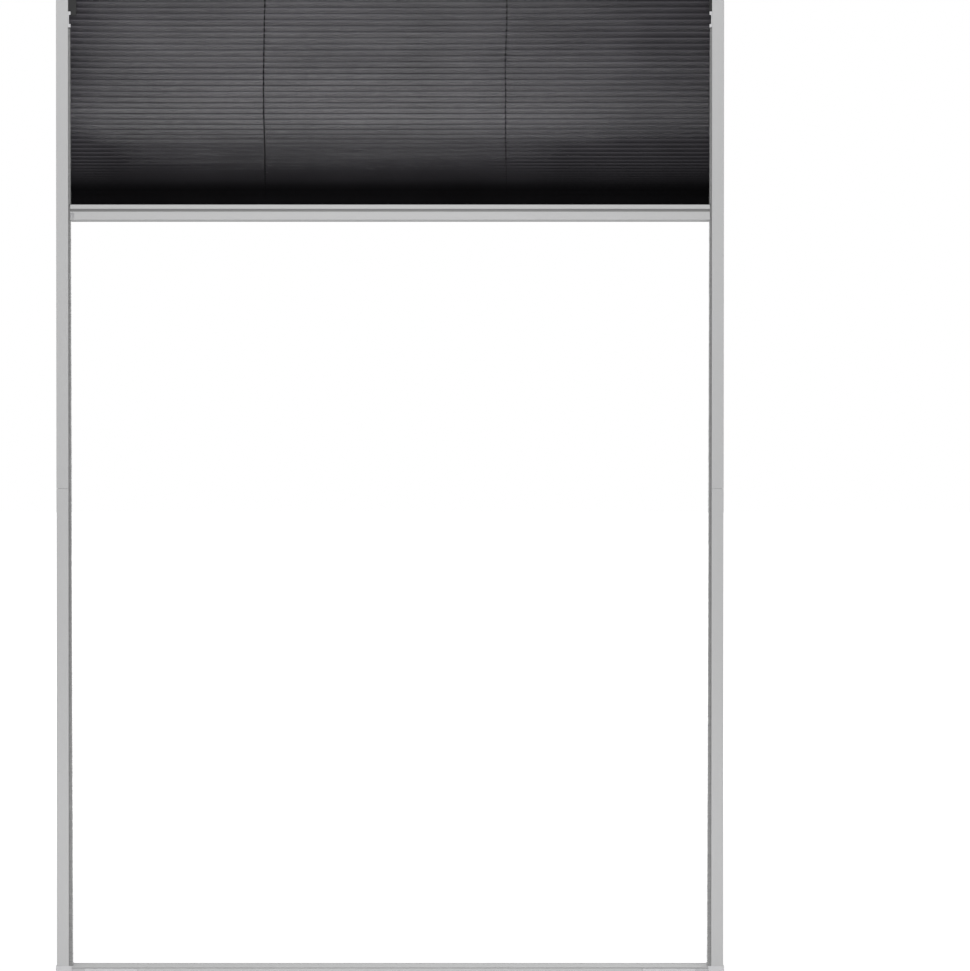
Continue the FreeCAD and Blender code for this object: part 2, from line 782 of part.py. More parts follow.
def cord(word):
    """One guide cord in four runs: down through the pleats, through the bar, down the
    rail on the other side, and into its tensioner."""
    here = cords[word]
    x, y, far = here["x"], here["y"], -here["side"]
    radius, turn = S["cord_radius"], S["cord_bend"]
    top = strip_top + S["anchor_height"]
    drop = cord_run + turn
    finished(rod(f"cord_{word}_upper", radius, top - drop, x, y, drop), f"cord_{word}_upper")

    run_start, run_end = x + far * turn, far * (cord_out - turn)
    low, high = (run_start, run_end) if far == RIGHT else (run_end, run_start)
    in_bar = [
        bend(f"cord_{word}_entry", run_start, y, cord_run + turn, 2 if far == RIGHT else 3),
        rod(f"cord_{word}_run", radius, high - low, low, y, cord_run, along_x(RIGHT)),
        bend(f"cord_{word}_exit", run_end, y, cord_run - turn, 0 if far == RIGHT else 1),
        rod(
            f"cord_{word}_drop", radius, cord_run - turn - bar_bottom, far * cord_out, y,
            bar_bottom,
        ),
    ]
    finished(fused(f"cord_{word}_bar", in_bar), f"cord_{word}_bar")

    low_end = cord_tail + turn
    lower = rod(
        f"cord_{word}_lower", radius, bar_bottom - low_end, far * cord_out, y, low_end
    )
    finished(lower, f"cord_{word}_lower")

    tail_end = block_edge - S["cord_tail"] + duct
    tail = across(far, tail_end, cord_out - turn)
    in_rail = [
        bend(f"cord_{word}_foot", run_end, y, low_end, 3 if far == RIGHT else 2),
        rod(f"cord_{word}_end", radius, tail[1] - tail[0], tail[0], y, cord_tail, along_x(RIGHT)),
    ]
    finished(fused(f"cord_{word}_tail", in_rail), f"cord_{word}_tail")


def build():
    top_rail()
    bottom_rail()
    joint = S["joint_height"]
    half_gap = S["joint_gap"] / 2
    screws = []
    for word, side in SIDES.items():
        hole = half_height - S["screw_hole_inset"]
        side_rail(f"{word}_rail_upper", side, joint + half_gap, block_end, hole)
        side_rail(f"{word}_rail_lower", side, -block_end, joint - half_gap, -hole)
        joiner(f"{word}_rail_joiner", side)
        for place_word, end in (("top", 1), ("bottom", -1)):
            corner(f"corner_{place_word}_{word}", side, end)
            screws.append(corner_screw(f"corner_screw_{place_word}_{word}", side, end))
        brush_seal(f"seal_{word}_front", side, True)
        brush_seal(f"seal_{word}_rear", side, False)
        seal_clip(f"seal_clip_{word}", side)
        head_clip(f"head_clip_{word}", side, S[f"head_clip_{word}"])
        end_cap(f"pull_bar_end_{word}", side)
        tensioner(f"cord_tensioner_{word}", side)
        cover(f"tensioner_cover_{word}", side)
        eyelet(f"cord_eyelet_{word}", cords[word])
        anchor(f"cord_anchor_{word}", cords[word])
        cord(word)
    group = doc.addObject("Part::Compound", "corner_screws")
    group.Links = screws
    finished(group, "corner_screws")
    head_strip()
    pleated_mesh()
    foot_strip()
    pull_bar()


def check():
    """Stops if anything in the document failed, or a sub-part has no sound solid."""
    doc.recompute()
    failed = [o.Name for o in doc.Objects if {"Invalid", "Error"} & set(o.State)]
    unsound = [n.Label for n in nodes if n.Shape.isNull() or not n.Shape.isValid()]
    if failed or unsound:
        raise RuntimeError(f"failed: {failed}; unsound: {unsound}")


build()
check()
os.makedirs("parts", exist_ok=True)
for node in nodes:
    node.Shape.exportStep(f"parts/{node.Label}.step")
    print(f"{node.Label}: {len(node.Shape.Solids)} solid, {node.Shape.Volume:.1f} mm3")
print(f"{len(nodes)} nodes")
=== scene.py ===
# %% [markdown]
# # A pleated insect screen
#
# The construction of the screen arrives finished: rails, corners, pull bar and clips, each in its
# place. This notebook adds what the eye expects of the real thing: the woven mesh in its pleats,
# the bristles of the brush seals, braided cords, the screws' recesses, and a finish for every
# surface. Every length is in metres, so a piece goes exactly where the construction says.

# %% Load the construction
import json
import math

import bmesh
import bpy
import numpy as np
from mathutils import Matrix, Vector


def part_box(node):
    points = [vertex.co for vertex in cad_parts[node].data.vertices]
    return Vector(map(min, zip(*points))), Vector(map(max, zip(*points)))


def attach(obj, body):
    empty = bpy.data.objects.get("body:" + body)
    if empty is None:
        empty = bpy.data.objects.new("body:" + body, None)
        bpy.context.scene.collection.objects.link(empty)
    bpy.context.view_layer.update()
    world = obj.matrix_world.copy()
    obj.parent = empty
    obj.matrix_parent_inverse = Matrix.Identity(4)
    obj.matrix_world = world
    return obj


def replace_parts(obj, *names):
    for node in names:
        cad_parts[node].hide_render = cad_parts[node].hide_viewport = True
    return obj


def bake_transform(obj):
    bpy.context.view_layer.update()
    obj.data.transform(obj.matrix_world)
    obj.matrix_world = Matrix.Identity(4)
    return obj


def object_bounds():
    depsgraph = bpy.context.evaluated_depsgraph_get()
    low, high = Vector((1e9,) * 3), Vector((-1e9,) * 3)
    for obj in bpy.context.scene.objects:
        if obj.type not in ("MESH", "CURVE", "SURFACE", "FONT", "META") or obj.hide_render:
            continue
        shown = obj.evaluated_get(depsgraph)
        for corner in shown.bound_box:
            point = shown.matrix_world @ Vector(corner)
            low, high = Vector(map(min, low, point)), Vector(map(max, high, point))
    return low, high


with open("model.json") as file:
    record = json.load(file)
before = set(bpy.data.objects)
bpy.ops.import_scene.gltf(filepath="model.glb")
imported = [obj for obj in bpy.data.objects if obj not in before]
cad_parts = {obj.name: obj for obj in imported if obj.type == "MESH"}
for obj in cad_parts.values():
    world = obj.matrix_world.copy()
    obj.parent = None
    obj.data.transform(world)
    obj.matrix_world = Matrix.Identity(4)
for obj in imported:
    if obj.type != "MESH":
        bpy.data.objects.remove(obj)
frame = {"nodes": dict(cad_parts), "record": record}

MM = 0.001
cad_low, cad_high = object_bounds()
chance = np.random.default_rng(11)
print("construction, mm:", [round(v / MM, 1) for v in cad_high - cad_low])

# %% [markdown]
# ## Sums with sockets
#
# A procedural finish is arithmetic: this noise, scaled, plus that stripe. Blender keeps the
# arithmetic in Math nodes. They could be added and linked one by one, but a formula is easier to
# read, so a small class wraps a node's output and turns Python's operators into Math nodes.


# %% The wrapper and the finish that owns it
class Wire:
    """The output of a shader node, which can be used in a formula."""

    def __init__(self, finish, socket):
        self.finish = finish
        self.socket = socket

    def __add__(self, other):
        return self.finish.maths("ADD", self, other)

    def __sub__(self, other):
        return self.finish.maths("SUBTRACT", self, other)

    def __rsub__(self, other):
        return self.finish.maths("SUBTRACT", other, self)

    def __mul__(self, other):
        return self.finish.maths("MULTIPLY", self, other)

    __radd__ = __add__
    __rmul__ = __mul__


class Finish:
    """A material with one Principled shader, and the nodes that vary it over a surface."""

    def __init__(self, name, slot, colour, roughness, metallic=0.0, specular=0.5):
        self.slot = slot
        self.material = bpy.data.materials.new(name)
        self.material.use_nodes = True
        self.nodes = self.material.node_tree.nodes
        self.shader = next(n for n in self.nodes if n.type == "BSDF_PRINCIPLED")
        self.shader.inputs["Base Color"].default_value = (*colour, 1)
        self.shader.inputs["Roughness"].default_value = roughness
        self.shader.inputs["Metallic"].default_value = metallic
        self.shader.inputs["Specular IOR Level"].default_value = specular

    def node(self, kind, inputs, output=0, **settings):
        """Adds a node: its settings first, then a value or a wire for each named input."""
        made = self.nodes.new(f"ShaderNode{kind}")
        for name, value in settings.items():
            setattr(made, name, value)
        for name, value in inputs.items():
            self.feed(made.inputs[name], value)
        return Wire(self, made.outputs[output])

    def feed(self, socket, value):
        if isinstance(value, Wire):
            self.material.node_tree.links.new(value.socket, socket)
        else:
            socket.default_value = value

    def maths(self, operation, a, b=0.0):
        return self.node("Math", {0: a, 1: b}, operation=operation)

    def place(self, stretch=(1, 1, 1)):
        """Object coordinates, stretched along each axis."""
        where = self.node("TexCoord", {}, output="Object")
        return self.node("Mapping", {"Vector": where, "Scale": stretch})

    def noise(self, size, stretch=(1, 1, 1), detail=2.0):
        """Soft noise between 0 and 1 whose lumps measure about size."""
        inputs = {"Vector": self.place(stretch), "Scale": 1 / size, "Detail": detail}
        return self.node("TexNoise", inputs)

    def axis(self, name, where=None):
        """One coordinate, X, Y or Z, of a place: the object's own unless another is given."""
        return self.node("SeparateXYZ", {0: where or self.place()}, output=name)

    def ramp(self, value, start, end, low, high):
        """A number that goes from low to high while the value goes from start to end."""
        return self.node("MapRange", {"Value": value, 1: start, 2: end, 3: low, 4: high})

    def blend(self, share, low, high):
        """A colour between two: low where share is 0 and high where it is 1."""
        inputs = {0: share, 6: (*low, 1), 7: (*high, 1)}
        return self.node("Mix", inputs, output=2, data_type="RGBA")

    def vary(self, colour=None, roughness=None, height=None, depth=0.0):
        """Links what changes over the surface; height is in shares of depth, a real length."""
        if colour is not None:
            self.feed(self.shader.inputs["Base Color"], colour)
        if roughness is not None:
            self.feed(self.shader.inputs["Roughness"], roughness)
        if height is not None:
            bump = self.node("Bump", {"Height": height, "Distance": depth, "Strength": 1.0})
            self.feed(self.shader.inputs["Normal"], bump)
        return self


# %% [markdown]
# ## Powder-coated aluminium
#
# The rails and the pull bar are extruded and then coated: powder is baked into a satin film with
# a very shallow orange-peel ripple, about a millimetre from crest to crest, and a finer grain. A
# painted colour alone would look like paper, so the ripple bends the highlights and the grain
# scatters the roughness a little. The colour drifts by two or three per cent along a rail. The pull
# bar and the bottom rail get a coat a shade lighter than the side rails, painted light for the
# brighter light they catch, and the long groove that each of the two has along its front is
# darkened with painted shade.


# %% Finish of the profiles
PEEL = 1.3 * MM
GRAIN = 0.35 * MM
DRIFT = 160 * MM
RIPPLE_DEPTH = 0.03 * MM
# painted shade: the dark grey that the inside of the long grooves is mixed towards
GROOVE_SHADE = (0.25, 0.25, 0.25)
BAR_GROOVE = (12.3 * MM, 1.7 * MM, 3.4 * MM)  # middle above the profile's foot, half height, depth
SILL_GROOVE = (11.7 * MM, 0.4 * MM, 0.8 * MM)


def powder_coat(name, grey):
    coat = Finish(name, "rail_coating", (grey, grey, grey), 0.42)
    peel = coat.noise(PEEL)
    grain = coat.noise(GRAIN, detail=1.0)
    drift = coat.noise(DRIFT, stretch=(1, 1, 0.4))
    dull = (0.97 * grey, 0.973 * grey, 0.98 * grey)
    clear = (1.03 * grey, 1.03 * grey, 1.035 * grey)
    colour = coat.blend(drift, dull, clear)
    return coat.vary(colour, 0.36 + grain * 0.14, peel * 0.8 + grain * 0.2, RIPPLE_DEPTH)


def groove_shaded_coat(node, grey, middle, half, depth):
    """The coat of a profile with painted shade in its front's long groove, which fades out where
    a place is as far above or below the groove's middle as half its height, and at its mouth."""
    coat = powder_coat(f"coat_{node}", grey)
    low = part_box(node)[0]
    off_middle = coat.maths("ABSOLUTE", coat.axis("Z") - (low.z + middle))
    off_depth = coat.maths("ABSOLUTE", coat.axis("Y") - (low.y + 0.65 * depth))
    between = coat.ramp(off_middle, 0.88 * half, 1.03 * half, 1, 0)
    inside = coat.ramp(off_depth, 0.44 * depth, 0.62 * depth, 1, 0)
    unshaded = Wire(coat, coat.shader.inputs["Base Color"].links[0].from_socket)
    # painted shade: inside the groove the coat is mixed towards a dark grey
    inputs = {0: between * inside, 6: unshaded, 7: (*GROOVE_SHADE, 1)}
    return coat.vary(coat.node("Mix", inputs, output=2, data_type="RGBA"))


# %% [markdown]
# ## Moulded plastics
#
# Corners, covers, end caps and clips are injection moulded. Their tools are spark eroded, which
# leaves a fine pebbled grain that keeps the plastic from shining. One recipe serves three
# colours: cells of about half a millimetre as height, with a breath of noise in the colour.


# %% Finish of the mouldings
PEBBLE = 0.6 * MM
PEBBLE_DEPTH = 0.035 * MM
CLOUD = 14 * MM


def moulded(name, slot, grey, roughness, specular=0.5):
    colour = (grey, grey, 1.02 * grey)
    plastic = Finish(name, slot, colour, roughness, specular=specular)
    cells = {"Vector": plastic.place(), "Scale": 1 / PEBBLE}
    pebble = plastic.node("TexVoronoi", cells, feature="SMOOTH_F1")
    cloud = plastic.noise(CLOUD)
    dull = tuple(0.94 * c for c in colour)
    clear = tuple(min(1.0, 1.05 * c) for c in colour)
    shine = roughness - 0.05 + cloud * 0.1
    return plastic.vary(plastic.blend(cloud, dull, clear), shine, pebble, PEBBLE_DEPTH)


# %% [markdown]
# ## Bare metals
#
# The angles inside the side rails are raw, dull extrusions, coloured a dark grey as painted shade,
# so that the joint in the side rails reads dark. The die draws lines along them, so noise is
# stretched a hundredfold along Z and changes both roughness and height. The screws are zinc
# plated: bright, with a slight blotchy bloom.


# %% Finish of plates and screws
def mill_finish():
    # painted shade: the plates are dark grey so that the joint in the side rails looks dark
    metal = Finish("mill_finish", "joiner_metal", (0.2, 0.2, 0.203), 0.45, metallic=1.0)
    lines = metal.noise(0.4 * MM, stretch=(1, 1, 0.01))
    return metal.vary(None, 0.38 + lines * 0.25, lines, 0.02 * MM)


def zinc_plate():
    metal = Finish("zinc_plate", "screw_steel", (0.66, 0.67, 0.7), 0.3, metallic=1.0)
    bloom = metal.noise(1.2 * MM)
    colour = metal.blend(bloom, (0.6, 0.61, 0.63), (0.74, 0.74, 0.74))
    return metal.vary(colour, 0.22 + bloom * 0.25, bloom, 0.01 * MM)


# %% [markdown]
# ## Threads, bristles and cords
#
# The mesh is woven from black yarn that doesn't shine. A single thread is far too thin to carry a
# texture, but the open folds are painted lighter, with a cool tint, as painted light, and the ones
# packed on the bar are painted deep black as painted shade, which an attribute says from fold to
# fold; it is also painted a little darker towards the right rail. Slow noise makes the painted light
# uneven. Bristles differ one by one, which an attribute on their points says. The cords are braided:
# two families of strands wind round in opposite directions, and the higher of two sine waves is the
# surface.


# %% Finish of the soft parts
STRANDS = 4
BRAID_LAY = 1.6 * MM


def black_yarn():
    yarn = Finish("black_yarn", "pleat_mesh", (0.02, 0.02, 0.02), 0.6, specular=0)
    lit_share = yarn.node("Attribute", {}, output="Fac", attribute_name="painted_fold_light")
    # painted light on the open folds and painted shade on the packed ones, read from an attribute
    uneven = 0.6 + yarn.noise(120 * MM, stretch=(1, 1, 1.6)) * 0.8
    lit_fold_colour = (0.122, 0.117, 0.13)
    return yarn.vary(yarn.blend(lit_share * uneven, (0.002, 0.002, 0.0022), lit_fold_colour))


def pile():
    bristle = Finish("brush_pile", "brush_pile", (0.36, 0.36, 0.36), 0.7, specular=0.3)
    tone = bristle.node("Attribute", {}, output="Fac", attribute_name="tone")
    return bristle.vary(bristle.blend(tone, (0.26, 0.26, 0.26), (0.46, 0.46, 0.46)))


def braid():
    """UV: u runs once round the cord, v along it, one unit for each lay of the strands."""
    cord = Finish("black_braid", "guide_cord", (0.01, 0.01, 0.011), 0.6, specular=0)
    where = cord.node("TexCoord", {}, output="UV")
    around = cord.axis("X", where) * (2 * math.pi * STRANDS)
    along = cord.axis("Y", where) * (2 * math.pi)
    one_way = cord.maths("SINE", around + along)
    other_way = cord.maths("SINE", around - along)
    strands = cord.maths("MAXIMUM", one_way, other_way)
    # painted shade: the valleys between the strands are darker than their crests
    lit = cord.blend(strands, (0.003, 0.003, 0.0032), (0.01, 0.01, 0.0105))
    return cord.vary(lit, None, strands, 0.08 * MM)


finishes = {
    "rail": powder_coat("powder_coat", 0.47),
    "corner": moulded("corner_plastic", "corner_plastic", 0.555, 0.5),
    "lock": moulded("grey_plastic", "grey_plastic", 0.46, 0.5),
    "black": moulded("black_plastic", "black_plastic", 0.014, 0.5, specular=0.3),
    "plate": mill_finish(),
    "screw": zinc_plate(),
    "yarn": black_yarn(),
    "pile": pile(),
    "braid": braid(),
}
print("finishes:", ", ".join(finishes))

# %% [markdown]
# ## Dress the finished parts
#
# Rails, plates and mouldings already have their true shape, so each only swaps its plain material
# for one of the finishes. The part's own record says which slot it belongs to, so the list need
# not be written twice: a finish knows its slot, and a node with that slot gets the finish.

# %% Put finishes on the construction
def dress(node, finish):
    materials = frame["nodes"][node].data.materials
    materials.clear()
    materials.append(finish.material)


slot_finish = {finish.slot: finish for finish in finishes.values()}
for part in frame["record"]["subparts"]:
    dress(part["node"], slot_finish[part["material_slot"]])
# painted light: the pull bar and the bottom rail get lighter copies of the rails' coat
dress("pull_bar_profile", groove_shaded_coat("pull_bar_profile", 0.477, *BAR_GROOVE))
dress("bottom_rail", groove_shaded_coat("bottom_rail", 0.485, *SILL_GROOVE))

# %% [markdown]
# ## From arrays to meshes
#
# Every new piece below is worked out as arrays of points. One function turns points and faces
# into an object, whatever mix of triangles and quads it gets, and one makes many tubes at a time:
# a ring of points round each place on each path, joined by quads and closed at both ends.


# %% Mesh helpers
def piece(name, points, faces, finish, smooth=False):
    """An object from points (n, 3) and a list of face arrays, each (faces, corners)."""
    mesh = bpy.data.meshes.new(name)
    points = np.asarray(points, np.float32).reshape(-1, 3)
    corners = np.concatenate([f.ravel() for f in faces]).astype(np.int32)
    sizes = np.concatenate([np.full(len(f), f.shape[1]) for f in faces])
    starts = np.concatenate([[0], np.cumsum(sizes)[:-1]]).astype(np.int32)
    mesh.vertices.add(len(points))
    mesh.vertices.foreach_set("co", points.ravel())
    mesh.loops.add(len(corners))
    mesh.loops.foreach_set("vertex_index", corners)
    mesh.polygons.add(len(sizes))
    mesh.polygons.foreach_set("loop_start", starts)
    mesh.polygons.foreach_set("use_smooth", np.full(len(sizes), smooth))
    mesh.update(calc_edges=True)
    mesh.validate()
    mesh.materials.append(finish.material)
    made = bpy.data.objects.new(name, mesh)
    bpy.context.scene.collection.objects.link(made)
    return made


def tubes(centres, across, up, sides=4):
    """Closed tubes along many paths. centres is (paths, places, 3); a ring's point at angle a is
    centre + across * cos a + up * sin a, where across x up points along the path."""
    paths, places = centres.shape[:2]
    angle = (np.arange(sides) + 0.5) * 2 * math.pi / sides
    turn = np.cos(angle)[:, None], np.sin(angle)[:, None]
    rings = centres[:, :, None] + across[..., None, :] * turn[0] + up[..., None, :] * turn[1]
    index = np.arange(paths * places * sides).reshape(paths, places, sides)
    following = np.roll(index, -1, axis=2)
    walls = np.stack([index[:, :-1], following[:, :-1], following[:, 1:], index[:, 1:]], axis=-1)
    ends = np.concatenate([index[:, 0, ::-1], index[:, -1]])
    return rings.reshape(-1, 3), [walls.reshape(-1, 4), ends]


def together(parts):
    """Joins several (points, faces) pairs into one."""
    offsets = np.cumsum([0] + [len(points) for points, _ in parts])
    faces = [f + start for start, (_, group) in zip(offsets, parts) for f in group]
    return np.concatenate([points for points, _ in parts]), faces


def waves(where, longest, count, size):
    """A smooth wandering curve: sines of shorter and shorter wavelength, random in phase."""
    total = np.zeros(np.shape(where))
    for n in range(1, count + 1):
        total += np.sin(2 * math.pi * n * where / longest + chance.uniform(0, 2 * math.pi)) / n
    return total * size


# %% [markdown]
# ## What stretches when the bar slides
#
# The mesh and the cords end in the top rail and in the pull bar, which slides. Between the two
# each point has to travel a share of the way that grows evenly with its distance from the fixed
# end. One smooth blend over the whole length would crowd the middle and fold it over itself, so
# a stretching piece is cut into bands whose smooth curves would join into an almost straight line;
# the curves are worked out, but not applied.

# %% Bands of travel
BAND_ENDS = (0, 0.05, 0.08, 0.14, 0.26, 0.5, 0.74, 0.86, 0.92, 0.95, 1)
SLOW_END = 0.05
SLOW_TRAVEL = 0.03


def travel(share):
    """How far a point goes, as a share of the bar's way: slow near both ends, else in step."""
    steps = ((0, SLOW_END, 1 - SLOW_END, 1), (0, SLOW_TRAVEL, 1 - SLOW_TRAVEL, 1))
    return float(np.interp(share, *steps))


def smooth_from(weight):
    """The t between 0 and 1 for which t * t * (3 - 2 t) is the weight."""
    return 0.5 - math.sin(math.asin(1 - 2 * weight) / 3)


def stretch(band, bodies, fixed, moving, shares):
    """Works out the blend of a band that spans from height fixed to height moving, then only bakes its
    transform.
    """
    first, last = (smooth_from(travel(share)) for share in shares)
    low, high = (fixed + (moving - fixed) * share for share in shares)
    unit = (high - low) / (last - first)
    start = low - first * unit
    start + unit
    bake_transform(band)


# %% [markdown]
# ## The pleats
#
# The pleats' creases are read from the construction: the heights where its zigzag wall reaches
# its front and its back. Real creases are never quite straight. Each one wanders up and down by
# a few hundredths of the distance to the next, and its neighbours wander much the same way, so
# the curve of one crease is the last one's plus a little of its own.

# %% Creases
WANDER = 0.04
WAVE = 900 * MM
KEPT_CURVE = 0.94
OWN_CURVE = 0.3
HALF_WALL = 0.6 * MM
SAME_PLACE = 0.01 * MM
mesh_low, mesh_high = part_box("pleated_mesh")
wall_points = np.array([v.co for v in frame["nodes"]["pleated_mesh"].data.vertices])
at_face = np.abs(wall_points[:, 1, None] - [mesh_low.y, mesh_high.y]).min(axis=1) < SAME_PLACE
heights = np.unique(np.round(wall_points[at_face, 2], 6))[::-1]
heights = np.concatenate([[mesh_high.z], heights, [mesh_low.z]])
middle = (mesh_low.y + mesh_high.y) / 2
reach = (mesh_high.y - mesh_low.y) / 2 - HALF_WALL
count = len(heights)
depths = middle + reach * np.where(np.arange(count) % 2, 1, -1)
depths[[0, -1]] = middle
columns = np.linspace(mesh_low.x, mesh_high.x, 41)
pitches = np.gradient(-heights)
widest, closest = round(pitches.max() / MM, 2), round(pitches.min() / MM, 2)
print(count, "creases, mm from one to the next:", widest, "to", closest)


def crease_curves():
    """How far each crease strays from its height, for each column: (creases, columns)."""
    stray = waves(columns, WAVE, 3, 1.0)
    rows = []
    for pitch in pitches:
        stray = KEPT_CURVE * stray + waves(columns, WAVE, 3, OWN_CURVE)
        rows.append(stray * pitch * WANDER)
    rows[0] *= 0
    rows[-1] *= 0
    return np.array(rows)


crease_z = heights[:, None] + crease_curves()
crease_y = np.repeat(depths[:, None], len(columns), axis=1)


def on_mesh(position, x):
    """Points of the mesh. position counts creases from the top, so 2.5 lies halfway down the
    third panel; x is the place across. Both are arrays of one shape."""
    panel = np.clip(position.astype(int), 0, count - 2)
    down = position - panel
    column = (x - columns[0]) / (columns[1] - columns[0])
    left = np.clip(column.astype(int), 0, len(columns) - 2)
    right_share = column - left
    found = []
    for curves in (crease_y, crease_z):
        upper = curves[panel, left] * (1 - right_share) + curves[panel, left + 1] * right_share
        lower = curves[panel + 1, left] * (1 - right_share) + curves[panel + 1, left + 1] * right_share
        found.append(upper * (1 - down) + lower * down)
    return np.stack([x, *found], axis=-1)


# %% [markdown]
# ## Where the cords run
#
# Two black cords keep the bar level. Each runs down through holes in the pleats, which push it a
# millimetre or two to the side, as the photograph shows, and nudge it to and fro. Its way is
# settled before the mesh is woven, because the threads stop at the hole. The braid fills the hole:
# light beside the cord would hide it.

# %% Ways of the cords
CORD_SWAY = 0.12 * MM
SWAY_WAVE = 110 * MM
CORD_POINTS = 241
PUSHED_AT = (318, 370, 408, 437, 480, 495, 523, 552, 598)  # heights in millimetres
PUSHED = {
    "left": (0, -0.3, -0.8, -1.6, -2.0, -2.1, -1.4, -0.9, 0),
    "right": (0, -0.2, -1.1, -1.0, -1.1, -1.0, -0.8, 0.4, 0),
}
PUSH_LIMIT = 2.3 * MM
HOLE_ROOM = 0.03 * MM
BRAID_SWELL = 1.2


class Way:
    """The middle line of a cord's upper run: x for each height, at one depth y."""

    def __init__(self, word):
        low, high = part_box(f"cord_{word}_upper")
        self.radius = (high.x - low.x) / 2
        self.y = (low.y + high.y) / 2
        self.heights = np.linspace(low.z, high.z, CORD_POINTS)
        sway = waves(self.heights, SWAY_WAVE, 4, CORD_SWAY)
        pushed = np.interp(self.heights / MM, PUSHED_AT, PUSHED[word]) * MM
        held = np.sin(np.linspace(0, math.pi, CORD_POINTS)) ** 0.3
        self.places = (low.x + high.x) / 2 + (sway + pushed) * held

    def x(self, z):
        return np.interp(z, self.heights, self.places)


ways = {word: Way(word) for word in ("left", "right")}
cord_radius = ways["left"].radius
hole = cord_radius + HOLE_ROOM
print("cords:", [(word, round(way.x(0.45), 4)) for word, way in ways.items()])


# %% [markdown]
# ## The woven mesh
#
# From a step away the mesh looks like smoked glass, and it could be a dark sheet with holes
# painted into its transparency. But a pleat is seen almost edge on, where what counts is how
# thick the threads stand, and only real threads darken there as they should. So the threads
# across the screen are three-sided tubes with one flat side to the front, and the ones that run
# over the pleats, which are seen from their broad side, are ribbons. The photograph shows how much
# light comes through at each height and across the screen, so the yarn's thickness and its painted
# light and shade follow two tables down the mesh and two across it. Where a cord passes, the
# threads leave a hole.

# %% Threads
PICK = 0.9 * MM
RIBBON = 0.24 * MM
RIBBON_SCATTER = 0.06 * MM
STRAIGHT = 22 * MM
SHORTEST = 0.02  # of a panel
CORNER_CUT = 7 * MM
YARN_DOWN = (0, 0.12, 0.34, 0.5, 0.6, 0.73, 0.8, 0.9, 1)  # shares of the way down
YARN_THICKNESS = (0.347, 0.338, 0.315, 0.29, 0.267, 0.251, 0.22, 0.17, 0.15)  # millimetres
YARN_ACROSS = (-380, -350, -300, -200, 60, 150, 250, 310, 380)  # millimetres
YARN_SWELL = (1.09, 1.04, 1.01, 1, 1, 1.02, 1.045, 1.07, 1.08)
# painted light on the open folds and painted shade on the packed ones, down the mesh and across it
FOLD_LIGHT_DOWN = (0, 0.6, 0.7, 0.77, 0.83, 0.88, 0.91, 0.93, 1)
FOLD_LIGHT = (0.8, 0.8, 0.68, 0.58, 0.5, 0.3, 0.12, 0.07, 0.1)
FOLD_LIGHT_ACROSS = (-380, -340, -280, -170, 100, 200, 260, 330, 380)
FOLD_LIGHT_SWELL = (1.0, 0.95, 0.97, 1, 1, 0.97, 0.9, 0.8, 0.8)
creases = np.arange(count)
share_down = (heights[0] - heights) / (heights[0] - heights[-1])
panel_length = np.hypot(np.diff(heights), np.diff(depths))
run = np.concatenate([[0], np.cumsum(panel_length)])
cut_crease = np.interp(CORNER_CUT, -heights + heights[0], creases)
print("mesh unfolded, m:", round(run[-1], 3))


def cross_threads(first, last):
    """The threads across the screen between two creases, as tubes from edge to edge."""
    along = np.arange(run[first] + PICK / 2, run[last], PICK)
    position = np.interp(along, run, creases)
    thread_y = np.interp(position, creases, depths)
    thread_z = np.interp(position, creases, heights)
    edges = [np.full(len(position), mesh_low.x)]
    parts = []
    for way in ways.values():
        x = way.x(thread_z)
        whole = np.abs(thread_y - way.y) > hole
        parts.append(thread_span(position[whole], x[whole] - hole, x[whole] + hole, 2))
        edges += [x - hole, x + hole]
    edges.append(np.full(len(position), mesh_high.x))
    for start, end in zip(edges[::2], edges[1::2]):
        places = 1 + round(float(end[0] - start[0]) / STRAIGHT)
        parts.append(thread_span(position, start, end, places))
    return parts


def thread_span(position, start, end, places):
    """Tubes along X at each position on the mesh, each between its own start and end."""
    cut = mesh_high.x - CORNER_CUT
    x = np.linspace(start, end, places, axis=-1)
    x = np.where((position > cut_crease)[:, None], x, np.clip(x, -cut, cut))
    centres = on_mesh(np.repeat(position[:, None], places, axis=1), x)
    share = np.interp(position, creases, share_down)
    thickness = np.interp(share, YARN_DOWN, YARN_THICKNESS)[:, None]
    thickness = thickness * np.interp(x / MM, YARN_ACROSS, YARN_SWELL)
    radius = thickness[..., None] * MM / math.sqrt(3)
    return tubes(centres, radius * [0, -1, 0], radius * [0, 0, -1], sides=3)


def ribbons(position, x):
    """Ribbons over the pleats: position (ribbons, places) down the mesh at each x (ribbons,)."""
    edge = np.stack([x - RIBBON / 2, x + RIBBON / 2], axis=-1)[:, None]
    shape = (*position.shape, 2)
    points = on_mesh(np.broadcast_to(position[..., None], shape), np.broadcast_to(edge, shape))
    index = np.arange(points[..., 0].size).reshape(shape)
    quads = [index[:, :-1, 0], index[:, 1:, 0], index[:, 1:, 1], index[:, :-1, 1]]
    return points.reshape(-1, 3), [np.stack(quads, axis=-1).reshape(-1, 4)]


warp_x = np.arange(mesh_low.x + PICK, mesh_high.x - PICK / 2, PICK)
warp_x = warp_x + chance.normal(0, RIBBON_SCATTER, len(warp_x))


def pleat_threads(first, last):
    """The threads that run over the pleats between two creases."""
    reach = hole + RIBBON + PUSH_LIMIT
    beside = [np.abs(warp_x - way.places[0]) < reach for way in ways.values()]
    parts = [holed(warp_x[near], way, first, last) for near, way in zip(beside, ways.values())]
    outer = np.abs(warp_x) > mesh_high.x - CORNER_CUT
    below_cut = max(first, min(last, math.ceil(cut_crease)))
    for group, top in ((~outer & ~np.any(beside, axis=0), first), (outer, below_cut)):
        position = np.arange(top, last + 1.0)
        x = warp_x[group]
        parts.append(ribbons(np.repeat(position[None], len(x), axis=0), x))
    return parts


